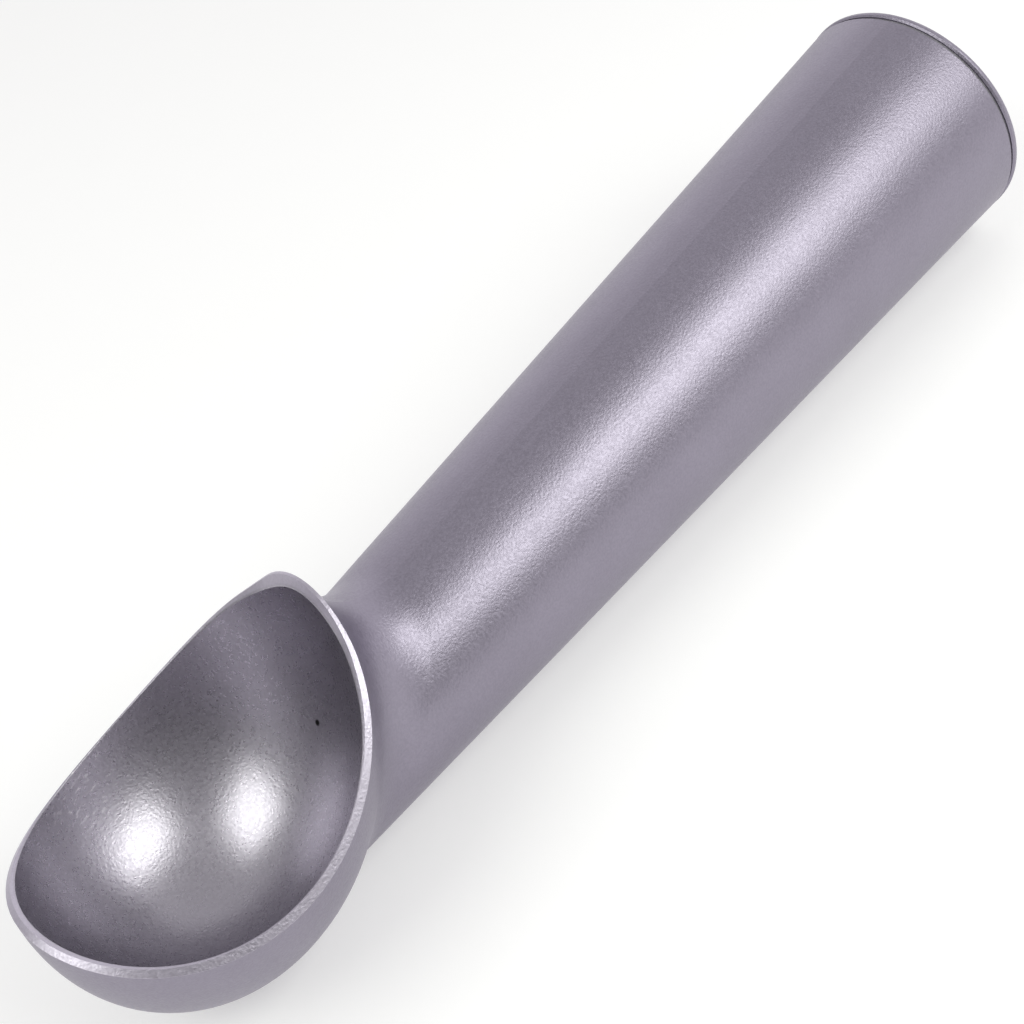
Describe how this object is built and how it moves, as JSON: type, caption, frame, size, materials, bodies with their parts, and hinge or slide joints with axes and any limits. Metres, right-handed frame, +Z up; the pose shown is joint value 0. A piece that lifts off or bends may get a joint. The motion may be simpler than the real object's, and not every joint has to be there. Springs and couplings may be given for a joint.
{
  "type": "ice cream scoop",
  "caption": "One-piece cast ice cream scoop with a round bowl, a saddle-shaped rim and a tapered liquid-filled handle closed by a pressed-in end cap.",
  "frame": {"origin": "middle of the bottom of the object's box, on the surface it lies on", "axes": "+Z up, out of the bowl's mouth; +X toward the butt of the handle, the bowl at -X; +Y across, the object being a mirror image of itself about the XZ plane. The handle's axis rises toward the butt by the small tilt at which the scoop rests on its cap's edge and its bowl."},
  "size_m": [0.1799, 0.0428, 0.0411],
  "materials": {
    "coated_casting": "satin",
    "cap_metal": "satin",
    "gasket_rubber": "matte",
    "stopper_rubber": "matte",
    "heat_liquid": "gloss"
  },
  "bodies": {
    "root": {"scoop_body": "coated_casting", "end_cap": "cap_metal", "cap_gasket": "gasket_rubber", "chamber_stopper": "stopper_rubber", "heat_fluid": "heat_liquid"}
  },
  "joints": []
}
